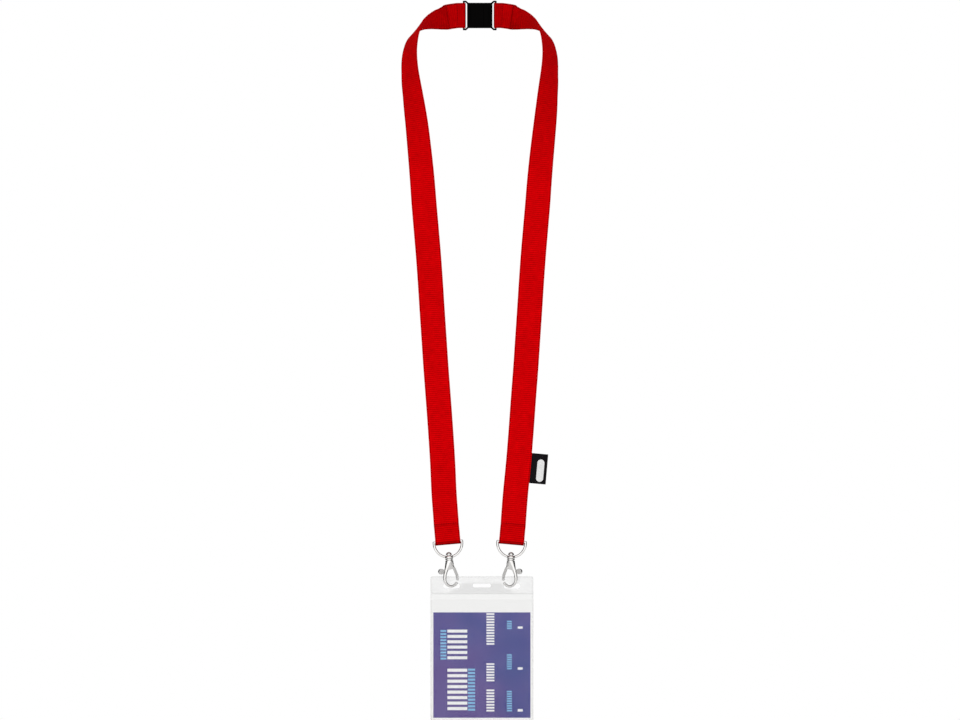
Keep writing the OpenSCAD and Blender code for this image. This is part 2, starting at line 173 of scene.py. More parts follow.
def hermite(s, values, at):
    """A smooth curve through the values at the distances s, read at the distances in at."""
    slope = np.diff(values, axis=0) / np.diff(s)[:, None]
    m = np.empty_like(values)
    m[0], m[-1] = slope[0], slope[-1]
    h = np.diff(s)
    m[1:-1] = (h[:-1, None] * slope[1:] + h[1:, None] * slope[:-1]) / (h[:-1] + h[1:])[:, None]
    i = np.clip(np.searchsorted(s, at, side="right") - 1, 0, len(s) - 2)
    t = ((at - s[i]) / h[i])[:, None]
    hh = h[i][:, None]
    return ((2 * t**3 - 3 * t**2 + 1) * values[i] + (t**3 - 2 * t**2 + t) * hh * m[i]
            + (3 * t**2 - 2 * t**3) * values[i + 1] + (t**3 - t**2) * hh * m[i + 1])


# -------------------------------------------------------- mesh helpers


def new_object(name, verts, faces, smooth=True):
    me = bpy.data.meshes.new(name)
    me.from_pydata([tuple(v) for v in verts], [], [tuple(f) for f in faces])
    me.validate()
    me.update()
    me.polygons.foreach_set("use_smooth", [smooth] * len(me.polygons))
    ob = bpy.data.objects.new(name, me)
    bpy.context.scene.collection.objects.link(ob)
    return ob


def apply_modifiers(ob):
    dg = bpy.context.evaluated_depsgraph_get()
    me = bpy.data.meshes.new_from_object(ob.evaluated_get(dg))
    ob.modifiers.clear()
    old = ob.data
    ob.data = me
    bpy.data.meshes.remove(old)


def float_attribute(ob, name, values):
    a = ob.data.attributes.new(name, "FLOAT", "POINT")
    a.data.foreach_set("value", np.asarray(values, np.float32))


# -------------------------------------------------------- webbing

RIB = 1.6          # pitch of the ribs across the webbing, mm
STEP = 0.4         # four samples a rib
HALF = WEB_W / 2
# depth of a face where it is nearer the edge than the first number: a selvedge with a groove beside it
EDGE_DEPTHS = ((0.3, 0.3), (0.7, 0.41), (1.1, 0.345), (1.5, 0.37))
FACE_DEPTH = 0.395
FACE_PLACES = (1.1, 3.2, 5.2, 7, 8.2, 8.7, 9.05, 9.5, 9.86)
RIB_DEPTH = 0.055
EDGE_HALF = 0.13   # half the thickness right at the edge


def section():
    """The webbing's section as (across, out, rib depth) with rounded selvedges, going round once."""
    def depth(a):
        return next((v for limit, v in EDGE_DEPTHS if HALF - abs(a) < limit), FACE_DEPTH)

    def rib(a):
        return RIB_DEPTH * min(1.0, max(0.25, HALF - abs(a) - 0.8))

    face = [-a for a in reversed(FACE_PLACES)] + list(FACE_PLACES)
    front = [(a, depth(a), rib(a)) for a in face]
    back = [(a, -depth(a), -rib(a)) for a in reversed(face)]
    right = [(HALF, EDGE_HALF, 0), (HALF, -EDGE_HALF, 0)]
    left = [(-HALF, -EDGE_HALF, 0), (-HALF, EDGE_HALF, 0)]
    return front + right + back + left


def webbing(name, path, side):
    """One length of webbing along a path of CAD stations; side -1 mirrors it to the left."""
    p = np.array([c for c, _ in path])
    w = np.array([x for _, x in path])
    s = np.concatenate([[0], np.cumsum(np.linalg.norm(np.diff(p, axis=0), axis=1))])
    n = int(round(s[-1] / STEP))
    at = np.linspace(0, s[-1], n + 1)
    c, wide = hermite(s, p, at), hermite(s, w, at)
    t = np.gradient(c, at, axis=0)
    t /= np.linalg.norm(t, axis=1)[:, None]
    wide -= (wide * t).sum(1)[:, None] * t
    wide /= np.linalg.norm(wide, axis=1)[:, None]
    out = np.cross(t, wide)
    sec = np.array(section())
    wave = np.cos(2 * math.pi * at / RIB)
    b = sec[None, :, 1] + sec[None, :, 2] * wave[:, None]
    v = c[:, None, :] + wide[:, None, :] * sec[None, :, 0, None] + out[:, None, :] * b[:, :, None]
    if side < 0:
        v = v * np.array([-1, 1, 1])
    k = len(sec)
    i, j = np.meshgrid(np.arange(n), np.arange(k), indexing="ij")
    a, d = i * k + j, i * k + (j + 1) % k
    quads = np.stack([a, d, d + k, a + k], -1).reshape(-1, 4)
    if side > 0:
        quads = quads[:, ::-1]
    faces = quads.tolist()
    first, last = list(range(k)), [n * k + q for q in range(k)]
    for cap, flip in ((first, side > 0), (last, side < 0)):
        half = k // 2
        for q in range(half - 1):
            f = [cap[q], cap[q + 1], cap[k - 2 - q], cap[k - 1 - q]]
            faces.append(f if flip else f[::-1])
    ob = new_object(name, v.reshape(-1, 3) * MM, faces)
    float_attribute(ob, "along", np.repeat(at, k))
    float_attribute(ob, "across", np.tile(sec[:, 0], n + 1))
    # how far along the webbing each place is from the bottom of its ring fold
    middle = at[np.argmin(c @ ring_up)]
    float_attribute(ob, "from_ring", np.repeat(np.abs(at - middle), k))
    return ob


webbing_left = webbing("webbing_left", strap_path(-1), -1)
webbing_right = webbing("webbing_right", strap_path(1), 1)
for o, side in ((webbing_left, "left"), (webbing_right, "right")):
    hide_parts(*("strap_" + side + part for part in ("_neck", "_shoulder", "_upper", "_lower")))
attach(webbing_left, "lanyard")
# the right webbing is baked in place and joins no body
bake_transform(webbing_right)

# -------------------------------------------------------- stitching

STITCH_LENGTH, STITCH_RADIUS = 1.45, 0.24
STITCH_OUT = 1.02        # from the middle of the two plies to a stitch
STITCH_DIP = 0.1         # how far a stitch's ends go into the webbing
ROW_STITCHES = 9
ROW_MARGIN = 1.5         # from a row's end to the webbing's edge
RING_ROW, BUCKLE_ROW = 14.5, 4.9   # from each bar to its row


def thread_bars(name, places):
    """Short bars of thread. Each place is (middle, direction along, direction out)."""
    verts, faces = [], []
    rings, around = 7, 8
    for mid, along, out in places:
        across = np.cross(along, out)
        base = len(verts)
        for i in range(rings):
            f = i / (rings - 1)
            z = (f - 0.5) * STITCH_LENGTH
            r = STITCH_RADIUS * max(0.12, math.sqrt(max(0.0, 1 - abs(2 * f - 1) ** 3)))
            dip = -STITCH_DIP * (2 * f - 1) ** 2
            for k in range(around):
                t = 2 * math.pi * k / around
                up, side = r * math.cos(t) * 0.8 + dip, r * math.sin(t)
                verts.append((mid + along * z + out * up + across * side) * MM)
        for i in range(rings - 1):
            for k in range(around):
                a, b = base + i * around + k, base + i * around + (k + 1) % around
                faces.append((a, b, b + around, a + around))
        faces.append([base + k for k in reversed(range(around))])
        faces.append([base + (rings - 1) * around + k for k in range(around)])
    return new_object(name, verts, faces)


def row_places(origin, across, normal):
    """One row of stitches on each face of the webbing."""
    pitch = (WEB_W - 2 * ROW_MARGIN) / ROW_STITCHES
    spots = [(i - (ROW_STITCHES - 1) / 2) * pitch for i in range(ROW_STITCHES)]
    return [(origin + across * a + normal * s * STITCH_OUT, across, normal * s)
            for s in (-1, 1) for a in spots]


def mirrored(places):
    m = np.array([-1.0, 1, 1])
    return [(a * m, b * m, c * m) for a, b, c in places]


ring_row = row_places(ring_bar + ring_up * RING_ROW, ring_across, Y)
buckle_row = row_places(buckle_bar + X * BUCKLE_ROW, Z, Y)
stitching = thread_bars("stitching", ring_row + mirrored(ring_row) + mirrored(buckle_row))
stitching_plug = thread_bars("stitching_plug", buckle_row)
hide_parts("stitch_rows")
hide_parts("stitch_rows_plug")
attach(stitching, "lanyard")
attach(stitching_plug, "buckle_plug")

# -------------------------------------------------------- moulded and cast parts

# size of the remeshed faces, mm
BUCKLE_VOXEL, RING_VOXEL, HOOK_VOXEL = 0.18, 0.15, 0.13


def cast(node, body, voxel, rounds):
    """A copy of a CAD solid, with its edges rounded as moulding or die casting leaves them."""
    ob = bpy.data.objects.new(node + "_cast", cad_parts[node].data.copy())
    bpy.context.scene.collection.objects.link(ob)
    ob.data.transform(Matrix.Scale(1 / MM, 4))
    ob.data.materials.clear()
    m = ob.modifiers.new("remesh", "REMESH")
    m.mode, m.voxel_size, m.use_smooth_shade = "VOXEL", voxel, True
    m = ob.modifiers.new("smooth", "SMOOTH")
    m.factor, m.iterations = 0.5, rounds
    apply_modifiers(ob)
    ob.data.transform(Matrix.Scale(MM, 4))
    ob.data.polygons.foreach_set("use_smooth", [True] * len(ob.data.polygons))
    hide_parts(node)
    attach(ob, body)
    return ob


PLASTIC = [cast("buckle_socket", "lanyard", BUCKLE_VOXEL, rounds=4),
           cast("buckle_plug", "buckle_plug", BUCKLE_VOXEL, rounds=4)]
NICKEL = []
for side in ("left", "right"):
    NICKEL.append(cast("d_ring_" + side, "ring_" + side, RING_VOXEL, rounds=4))
    NICKEL.append(cast("hook_body_" + side, "hook_" + side, HOOK_VOXEL, rounds=6))
    NICKEL.append(cast("trigger_" + side, "trigger_" + side, HOOK_VOXEL, rounds=4))
    NICKEL.append(cast("swivel_post_" + side, "hook_" + side, HOOK_VOXEL, rounds=4))
    NICKEL.append(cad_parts["trigger_pin_" + side])

# -------------------------------------------------------- side label

# all in mm; LABEL_AT is on the webbing's edge, at the label's middle height
LABEL_AT = np.array([40.4, -12, -349])
LABEL_W, LABEL_H, LABEL_TUCK = 13.0, 24.0, 2.4
LABEL_PLY, LABEL_GAP = 0.4, 0.1
LABEL_CURL = 0.4         # how far the free corners curl back
CURL_X, CURL_Z = 10.4, 7.8   # where the curl starts, clear of the mark
# the heat-cut edges are thin: (distance from the edge, share of the ply's thickness)
CUT_EDGE = ((0.0, 0.4), (0.12, 0.8))
CUT_FULL = 0.4           # the ply has its full thickness this far from the edge


def folded_label():
    """One woven strip folded double at its outer edge, both ends tucked behind the webbing."""
    bend = LABEL_PLY + LABEL_GAP / 2
    fold_x, mid = LABEL_W - bend, LABEL_PLY / 2
    run = np.linspace(-LABEL_TUCK, fold_x, 36)
    line = [(x, mid, 0.0, -1.0) for x in run]
    for a in np.radians(np.linspace(0, 180, 15))[1:-1]:
        n = (math.sin(a), -math.cos(a))
        line.append((fold_x + (bend - mid) * n[0], bend + (bend - mid) * n[1], *n))
    line += [(x, 2 * bend - mid, 0.0, 1.0) for x in run[::-1]]
    # heights, with how thick the ply is there
    h = LABEL_H / 2
    rows = [(-h + d, thick) for d, thick in CUT_EDGE]
    rows += [(z, 1.0) for z in np.linspace(-h + CUT_FULL, h - CUT_FULL, 49)]
    rows += [(h - d, thick) for d, thick in reversed(CUT_EDGE)]
    verts, n = [], len(line)
    for z, thick in rows:
        for x, y, nx, ny in line:
            curl = LABEL_CURL * ease(x, CURL_X, LABEL_W) * ease(abs(z), CURL_Z, h)
            for out in (mid * thick, -mid * thick):
                flat = LABEL_AT + ring_across * (x + nx * out)
                verts.append((flat + Y * (y + ny * out + curl) + ring_up * z) * MM)
    faces = []
    for j in range(len(rows) - 1):
        for i in range(n - 1):
            a, b = 2 * (j * n + i), 2 * ((j + 1) * n + i)
            faces.append((a, a + 2, b + 2, b))
            faces.append((a + 1, b + 1, b + 3, a + 3))
        for i in (0, n - 1):
            a, b = 2 * (j * n + i), 2 * ((j + 1) * n + i)
            faces.append((a, b, b + 1, a + 1) if i == 0 else (a, a + 1, b + 1, b))
    for j in (0, len(rows) - 1):
        for i in range(n - 1):
            a = 2 * (j * n + i)
            faces.append((a, a + 1, a + 3, a + 2) if j == 0 else (a, a + 2, a + 3, a + 1))
    return new_object("side_label_folded", verts, faces)


label = folded_label()
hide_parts("side_label")
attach(label, "lanyard")

# -------------------------------------------------------- card

CARD_LO, CARD_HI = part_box("card_insert")


def px(x):
    """x in mm from the card's left edge, to metres in the frame."""
    return CARD_LO.x + x * MM


def pz(z):
    """z in mm from the card's lower edge, to metres in the frame."""
    return CARD_LO.z + z * MM


PAPER, PURPLE, WHITE, BLUE = range(4)   # the order of the card's materials
BORDER = 0.45            # unprinted edge, mm
GRID = 6.0               # the faces are no larger than this, mm
SAME = 0.02              # lines closer than this are one line, mm

# what is printed, as (kind, left, bottom, right, top) in mm from the card's lower left corner
PRINT = []


def bars(kind, x0, x1, z0, z1, count, fill):
    """A run of plain bars along Z in the strip x0..x1."""
    pitch = (z1 - z0) / count
    for i in range(count):
        PRINT.append((kind, x0, z0 + (i + (1 - fill) / 2) * pitch, x1, z0 + (i + (1 + fill) / 2) * pitch))


bars(WHITE, 11.6, 27.4, 5.6, 40.4, 8, 0.56)
bars(WHITE, 11.6, 27.4, 46.0, 71.4, 6, 0.56)
bars(BLUE, 6.1, 10.8, 46.2, 70.6, 10, 0.6)
bars(BLUE, 28.0, 33.6, 5.6, 40.0, 13, 0.6)
bars(WHITE, 42.6, 48.9, 5.0, 23.4, 8, 0.6)
bars(WHITE, 42.6, 48.9, 29.0, 44.2, 7, 0.6)
bars(WHITE, 42.6, 48.9, 58.0, 83.9, 12, 0.6)
bars(BLUE, 58.8, 62.8, 5.2, 22.2, 9, 0.62)
bars(BLUE, 58.8, 62.8, 38.6, 51.2, 7, 0.62)
bars(BLUE, 58.8, 62.8, 70.6, 77.8, 4, 0.62)
bars(WHITE, 67.4, 71.4, 5.4, 7.4, 1, 1.0)
bars(WHITE, 67.4, 71.4, 38.6, 40.6, 1, 1.0)
bars(WHITE, 67.4, 71.4, 71.2, 73.0, 1, 1.0)


def printed_card():
    w, h = (CARD_HI.x - CARD_LO.x) / MM, (CARD_HI.z - CARD_LO.z) / MM
    xs = {0, w, BORDER, w - BORDER}
    zs = {0, h, BORDER, h - BORDER}
    for _, a, b, c, d in PRINT:
        xs |= {a, c}
        zs |= {b, d}
    xs |= {i * GRID for i in range(1, int(w // GRID) + 1)}
    zs |= {i * GRID for i in range(1, int(h // GRID) + 1)}

    def merged(values, top):
        out = []
        for v in sorted(values):
            if 0 <= v <= top and (not out or v - out[-1] > SAME):
                out.append(v)
        return out

    xs, zs = merged(xs, w), merged(zs, h)
    y0, y1 = CARD_LO.y, CARD_HI.y
    nx, nz = len(xs), len(zs)
    verts = [(px(x), y0, pz(z)) for z in zs for x in xs] + [(px(x), y1, pz(z)) for z in zs for x in xs]
    faces, kinds = [], []
    back = nx * nz
    for j in range(nz - 1):
        for i in range(nx - 1):
            a = j * nx + i
            mx, mz = (xs[i] + xs[i + 1]) / 2, (zs[j] + zs[j + 1]) / 2
            inside = BORDER < mx < w - BORDER and BORDER < mz < h - BORDER
            kind = PURPLE if inside else PAPER
            for ink, left, low, right, top in PRINT:
                if left < mx < right and low < mz < top:
                    kind = ink
            faces.append((a, a + 1, a + nx + 1, a + nx))
            kinds.append(kind)
            faces.append((back + a, back + a + nx, back + a + nx + 1, back + a + 1))
            kinds.append(PAPER)
    for i in range(nx - 1):
        for a in (i, (nz - 1) * nx + i):
            low = a == i
            f = (a, back + a, back + a + 1, a + 1)
            faces.append(f if low else f[::-1])
            kinds.append(PAPER)
    for j in range(nz - 1):
        for a in (j * nx, j * nx + nx - 1):
            left = a == j * nx
            f = (a, a + nx, back + a + nx, back + a)
            faces.append(f if left else f[::-1])
            kinds.append(PAPER)
    return new_object("card_print", verts, faces, smooth=False), kinds


card, card_kinds = printed_card()
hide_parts("card_insert")
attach(card, "card")

# -------------------------------------------------------- materials


class Nodes:
    """A material, and a short way to write its nodes.

    An input takes a number, a colour, a node's first output or a socket.
    """

    def __init__(self, name):
        self.mat = bpy.data.materials.new(name)
        self.mat.use_nodes = True
        self.tree = self.mat.node_tree
        self.tree.nodes.clear()
        self.out = self.tree.nodes.new("ShaderNodeOutputMaterial")

    def add(self, kind, inputs=None, **props):
        n = self.tree.nodes.new("ShaderNode" + kind)
        for k, v in props.items():
            setattr(n, k, v)
        for k, v in (inputs or {}).items():
            self.put(n, k, v)
        return n

    def put(self, n, key, value):
        socket = n.inputs[key]
        if isinstance(value, bpy.types.NodeSocket):
            self.tree.links.new(value, socket)
        elif isinstance(value, bpy.types.Node):
            self.tree.links.new(value.outputs[0], socket)
        else:
            socket.default_value = value

    def math(self, op, a, b=0.0, clamp=False):
        return self.add("Math", {0: a, 1: b}, operation=op, use_clamp=clamp).outputs[0]

    def times(self, a, b, clamp=False):
        return self.math("MULTIPLY", a, b, clamp)

    def plus(self, a, b):
        return self.math("ADD", a, b)

    def minus(self, a, b):
        return self.math("SUBTRACT", a, b)

    def attr(self, name):
        return self.add("Attribute", attribute_name=name).outputs["Fac"]

    def noise(self, scale, detail, vector):
        return self.add("TexNoise", {"Scale": scale, "Detail": detail, "Vector": vector}).outputs[0]

    def wave(self, scale, distortion, direction):
        return self.add(
            "TexWave", {"Scale": scale, "Distortion": distortion, "Vector": self.place()},
            bands_direction=direction).outputs["Fac"]

    def place(self):
        return self.add("TexCoord").outputs["Object"]

    def ramp(self, fac, stops):
        n = self.add("ValToRGB", {0: fac})
        e = n.color_ramp.elements
        while len(e) > 1:
            e.remove(e[0])
        e[0].position, e[0].color = stops[0][0], stops[0][1]
        for pos, col in stops[1:]:
            e.new(pos).color = col
        return n.outputs[0]

    def span(self, value, a, b, to0=0.0, to1=1.0):
        return self.add("MapRange", {0: value, 1: a, 2: b, 3: to0, 4: to1}).outputs[0]

    def mix(self, fac, a, b):
        n = self.add("Mix", data_type="RGBA")   # its colour inputs are 6 and 7, and its colour output is 2
        self.put(n, 0, fac)
        self.put(n, 6, a)
        self.put(n, 7, b)
        return n.outputs[2]

    def bump(self, height, distance, strength):
        return self.add("Bump", {"Height": height, "Distance": distance, "Strength": strength}).outputs[0]

    def surface(self, shader):
        self.put(self.out, 0, shader)
        return self.mat

    def principled(self, colour, rough, **more):
        """The material, as one Principled surface; more holds its other inputs, by name."""
        inputs = {"Base Color": colour, "Roughness": rough}
        inputs.update((k.replace("_", " "), v) for k, v in more.items())
        return self.surface(self.add("BsdfPrincipled", inputs))


def grey(v):
    return (v, v, v, 1.0)


def band(m, v, a, b, soft=0.25):
    """1 where v lies between a and b."""
    return m.times(m.span(v, a - soft, a + soft), m.span(v, b + soft, b - soft), clamp=True)


YARN_PITCH = 0.55                  # of the warp yarns, mm
NECK_SHADE = (190.0, 55.0)          # along the webbing, where the neck's painted shade starts and is full, mm
HEM_STITCHES = (16.0, 17.2)        # the painted shade of a dent along the stitches, from the bottom of the ring fold, mm
HEM_END = (16.0, 17.0)             # the double ply ends here
RED = [(0.0, (0.15, 0.0, 0.0003, 1)), (0.5, (0.52, 0.0, 0.0010, 1)), (1.0, (0.82, 0.0005, 0.003, 1))]
RED_SHEEN = (1.0, 0.005, 0.005, 1)


def webbing_material():
    m = Nodes("webbing_red")
    along, across = m.attr("along"), m.attr("across")
    rib = m.math("COSINE", m.times(along, 2 * math.pi / RIB))
    # neck is 0 below the neck and 1 where the neck's painted shade is full
    neck = m.span(along, *NECK_SHADE)
    # warp yarns along the webbing, uneven ribs, and cloudy dye
    warp = m.math("COSINE", m.times(across, 2 * math.pi / YARN_PITCH))
    phase = m.math("FLOOR", m.plus(m.math("DIVIDE", along, RIB), 0.5))
    joined = m.add("CombineXYZ", {0: m.times(across, 0.22), 1: phase}).outputs[0]
    yarn = m.noise(1.0, 2.0, joined)
    cloth = m.noise(90.0, 3.0, m.place())
    edge = m.math("ABSOLUTE", across)
    selvedge = band(m, edge, 8.75, 9.55, 0.15)
    light_line = m.times(m.span(edge, 7.6, 8.1), m.span(edge, 8.9, 8.4), clamp=True)
    shade = m.times(rib, m.span(neck, 0.0, 1.0, 0.17, 0.06))
    shade = m.plus(shade, m.times(warp, 0.03))
    shade = m.plus(shade, m.times(m.minus(yarn, 0.5), 0.45))
    shade = m.plus(shade, m.times(m.minus(cloth, 0.5), 0.22))
    shade = m.plus(shade, m.times(selvedge, -0.24))
    shade = m.plus(shade, m.times(light_line, 0.1))
    # the hem: painted shade at the fold round the ring's bar, a painted shaded dent along the stitches and
    # a slightly darker double ply
    ring = m.attr("from_ring")
    shade = m.plus(shade, m.span(ring, 1.4, 4.0, -0.42, 0.0))
    shade = m.plus(shade, m.span(ring, *HEM_END, -0.045, 0.0))
    shade = m.plus(shade, m.times(band(m, ring, *HEM_STITCHES, 0.3), -0.16))
    # painted shade: the part round the neck is drawn darker
    shade = m.plus(shade, m.times(neck, -0.18))
    colour = m.ramp(m.plus(0.5, shade), RED)
    fibre = m.noise(2600.0, 2.0, m.place())
    height = m.plus(m.times(warp, 0.25), m.times(fibre, 0.6))
    return m.principled(colour, m.span(yarn, 0.3, 0.7, 0.78, 0.9), Specular_IOR_Level=0.012,
                        Sheen_Weight=0.03, Sheen_Roughness=0.5, Sheen_Tint=RED_SHEEN,
                        Normal=m.bump(height, 0.00012, 0.6))


def thread_material():
    m = Nodes("thread_red")
    twist = m.wave(420.0, 1.5, "DIAGONAL")
    colour = m.mix(twist, (0.17, 0.0, 0.001, 1), (0.34, 0.0, 0.002, 1))
    return m.principled(colour, m.span(twist, 0, 1, 0.6, 0.8), Specular_IOR_Level=0.03,
                        Normal=m.bump(twist, 0.0001, 0.6))


def plastic_material():
    m = Nodes("moulded_black")
    grain = m.noise(1800.0, 3.0, m.place())
    smear = m.noise(60.0, 3.0, m.place())
    colour = m.ramp(smear, [(0.3, (0.0004, 0.0003, 0.0003, 1)), (0.75, (0.0012, 0.001, 0.001, 1))])
    return m.principled(colour, m.span(smear, 0.3, 0.7, 0.30, 0.42), Specular_IOR_Level=0.015,
                        Normal=m.bump(grain, 0.00003, 0.5))


def nickel_material(name, bright, rough):
    """Plated die casting; bright scales its colour."""
    m = Nodes(name)
    smear = m.noise(220.0, 4.0, m.place())
    fine = m.noise(1500.0, 2.0, m.place())
    colour = m.ramp(smear, [(0.25, (0.74 * bright, 0.73 * bright, 0.71 * bright, 1)),
                            (0.7, (0.84 * bright, 0.83 * bright, 0.82 * bright, 1))])
    return m.principled(colour, m.span(smear, 0.3, 0.7, rough, rough + 0.08), Metallic=1.0,
                        Normal=m.bump(fine, 0.000004, 0.2))


def spring_material():
    m = Nodes("spring_wire")
    drawn = m.wave(900.0, 2.0, "X")
    return m.principled(m.mix(drawn, grey(0.35), grey(0.5)), m.span(drawn, 0, 1, 0.3, 0.45), Metallic=1.0)


# where the pocket's features are, mm: x from its middle line, z from the origin
HOLDER_X = 1.7
HEADER_HAZE = (-448.6, -448.0)     # the header is milkier above the pocket's mouth
HEADER_SHADE = (-448.2, -440.4)     # the header's darker middle: painted shade
SHADE_TOP, SHADE_HALF, SHADE_SLOPE = -440.0, 16.0, 1.2   # its top, its half width there, and how it widens
SLOTS_X, SLOTS_Z = (16.0, 32.0), (-446.0, -438.0)
STREAKS = (-441.0, -436.0)
# TOP_RIM, BACK_SIDES, MOUTH_RIM and FRONT_SIDES mark painted dark edge lines, where a sheet's edge bends
# the light
TOP_RIM, BACK_SIDES = (-436.6, -435.9), (39.6, 40.5)
MOUTH_RIM, UNDER_MOUTH, FRONT_SIDES = (-449.2, -448.7), (-453.4, -449.6), (40.0, 40.6)
SPREAD = 0.008                     # how much the clearness varies either way


def vinyl_material(name, clear, tints, haze, rough, shine, header_haze=0.0):
    """Clear soft vinyl: mostly see-through, a little haze and a soft glare.

    tints are (mask function, factor) pairs that darken or clear some parts, for welds, painted shade,
    painted dark rims and painted glare.
    """
    m = Nodes(name)
    place = m.place()
    cloud = m.noise(28.0, 3.0, place)
    ripple = m.noise(14.0, 2.0, place)
    way = m.add("SeparateXYZ", {0: place}).outputs
    x = m.minus(m.math("DIVIDE", way[0], MM), HOLDER_X)
    z = m.math("DIVIDE", way[2], MM)
    side = m.math("ABSOLUTE", x)
    glass = m.span(cloud, 0.3, 0.7, clear - SPREAD, clear + SPREAD)
    for mask, factor in tints:
        glass = m.times(glass, m.minus(1.0, m.times(mask(m, x, side, z), 1 - factor)))
    # a ray goes through both faces of a sheet, so each face takes the root
    glass = m.math("SQRT", glass)
    tone = m.add("CombineColor", {0: glass, 1: glass, 2: m.times(glass, 0.998)}).outputs[0]
    see = m.add("BsdfTransparent", {"Color": tone})
    body = m.add("BsdfDiffuse", {"Color": grey(0.85), "Roughness": 0.5})
    milky = m.plus(m.span(cloud, 0.35, 0.7, haze * 0.7, haze * 1.3),
                   m.span(z, *HEADER_HAZE, 0.0, header_haze))
    soft = m.add("MixShader", {0: milky, 1: see, 2: body})
    gloss = m.add("BsdfGlossy", {
        "Color": grey(1.0), "Roughness": m.span(cloud, 0.3, 0.7, rough * 0.8, rough * 1.3),
        "Normal": m.bump(ripple, 0.0015, 0.6)})
    fresnel = m.times(m.add("Fresnel", {"IOR": 1.42}), shine)
    return m.surface(m.add("MixShader", {0: fresnel, 1: soft, 2: gloss}))


def header_painted_shade(m, x, side, z):
    """Painted shade: the darker middle of the header, wider towards the pocket."""
    reach = m.plus(m.times(m.minus(SHADE_TOP, z), SHADE_SLOPE), SHADE_HALF)
    inside = m.span(m.minus(side, reach), 2.5, -2.5)
    return m.times(inside, band(m, z, *HEADER_SHADE, 1.0), clamp=True)


def round_slots(m, x, side, z):
    """The vinyl round the hook slots is clearer."""
    return m.times(band(m, side, *SLOTS_X, 2.5), band(m, z, *SLOTS_Z, 2.0), clamp=True)


def streaks(m, x, side, z):
    """Painted glare: soft light streaks along the top of the header."""
    stretched = m.add("CombineXYZ", {0: m.times(x, 0.06), 2: m.times(z, 0.5)}).outputs[0]
    return m.times(m.span(m.noise(1.0, 2.0, stretched), 0.45, 0.6), band(m, z, *STREAKS, 0.8))


def paper_material():
    m = Nodes("card_white")
    fibre = m.noise(700.0, 3.0, m.place())
    colour = m.ramp(fibre, [(0.3, grey(0.93)), (0.7, grey(0.97))])
    return m.principled(colour, m.span(fibre, 0, 1, 0.5, 0.65), Normal=m.bump(fibre, 0.00002, 0.3))


def purple_material():
    m = Nodes("card_purple")
    big = m.noise(16.0, 2.0, m.place())
    small = m.noise(60.0, 4.0, m.place())
    wash = m.ramp(big, [(0.32, (0.040, 0.056, 0.255, 1)), (0.5, (0.048, 0.051, 0.25, 1)),
                        (0.68, (0.094, 0.056, 0.255, 1))])
    colour = m.mix(m.span(small, 0.35, 0.75, 0.0, 0.4), wash, (0.15, 0.12, 0.35, 1))
    return m.principled(colour, m.span(small, 0, 1, 0.42, 0.6))


def ink_material(name, thin, full):
    m = Nodes(name)
    ink = m.noise(400.0, 2.0, m.place())
    return m.principled(m.ramp(ink, [(0.3, thin), (0.7, full)]), m.span(ink, 0, 1, 0.45, 0.6))


def label_material(name, dark, light):
    m = Nodes(name)
    ribs = m.wave(420.0, 0.4, "Z")
    fibre = m.noise(1200.0, 3.0, m.place())
    mixed = m.times(m.plus(ribs, fibre), 0.5)
    return m.principled(m.ramp(mixed, [(0.25, dark), (0.8, light)]), m.span(fibre, 0, 1, 0.6, 0.8),
                        Specular_IOR_Level=0.03, Normal=m.bump(mixed, 0.0001, 0.6))


def dress(ob, *mats):
    ob.data.materials.clear()
    for m in mats:
        ob.data.materials.append(m)


red = webbing_material()
for o in (webbing_left, webbing_right):
    dress(o, red)
thread = thread_material()
for o in (stitching, stitching_plug):
    dress(o, thread)
black = plastic_material()
for o in PLASTIC:
    dress(o, black)
bright = nickel_material("nickel_bright", bright=1.0, rough=0.07)
dull = nickel_material("nickel_dull", bright=0.80, rough=0.34)
for o in NICKEL:
    dress(o, dull if o.name.startswith("trigger_") else bright)
spring = spring_material()
for side in ("left", "right"):
    dress(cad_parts["trigger_spring_" + side], spring)
dress(card, paper_material(), purple_material(),
      ink_material("print_white", grey(0.88), grey(0.95)),
      ink_material("print_light_blue", (0.20, 0.47, 0.72, 1), (0.26, 0.55, 0.80, 1)))
card.data.polygons.foreach_set("material_index", card_kinds)
vinyl_back = vinyl_material("vinyl_back", 0.90, [
    (header_painted_shade, 0.85), (streaks, 1.03), (round_slots, 1.05),
    # painted dark edge lines at the top rim and the sides
    (lambda m, x, side, z: m.span(z, *TOP_RIM), 0.955),
    (lambda m, x, side, z: band(m, side, *BACK_SIDES), 0.91)],
    haze=0.012, rough=0.16, shine=0.4, header_haze=0.16)
vinyl_front = vinyl_material("vinyl_front", 0.955, [
    # painted dark edge lines at the mouth's rim and the sides
    (lambda m, x, side, z: m.span(z, *MOUTH_RIM), 0.86),
    (lambda m, x, side, z: band(m, z, *UNDER_MOUTH), 1.04),
    (lambda m, x, side, z: m.span(side, *FRONT_SIDES), 0.97)],
    haze=0.008, rough=0.12, shine=0.3)
vinyl_weld = vinyl_material("vinyl_weld", 0.985, [], haze=0.01, rough=0.2, shine=0.3)
dress(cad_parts["holder_back_sheet"], vinyl_back)
dress(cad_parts["holder_front_sheet"], vinyl_front)
dress(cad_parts["holder_weld"], vinyl_weld)
dress(label, label_material("label_black", (0.002, 0.0015, 0.002, 1), (0.012, 0.010, 0.012, 1)))
dress(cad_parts["label_mark"], label_material("label_white", grey(0.5), grey(0.85)))

# -------------------------------------------------------- floor and light

FLOOR_RADIUS, FLOOR_Z = 0.8, -0.62       # m


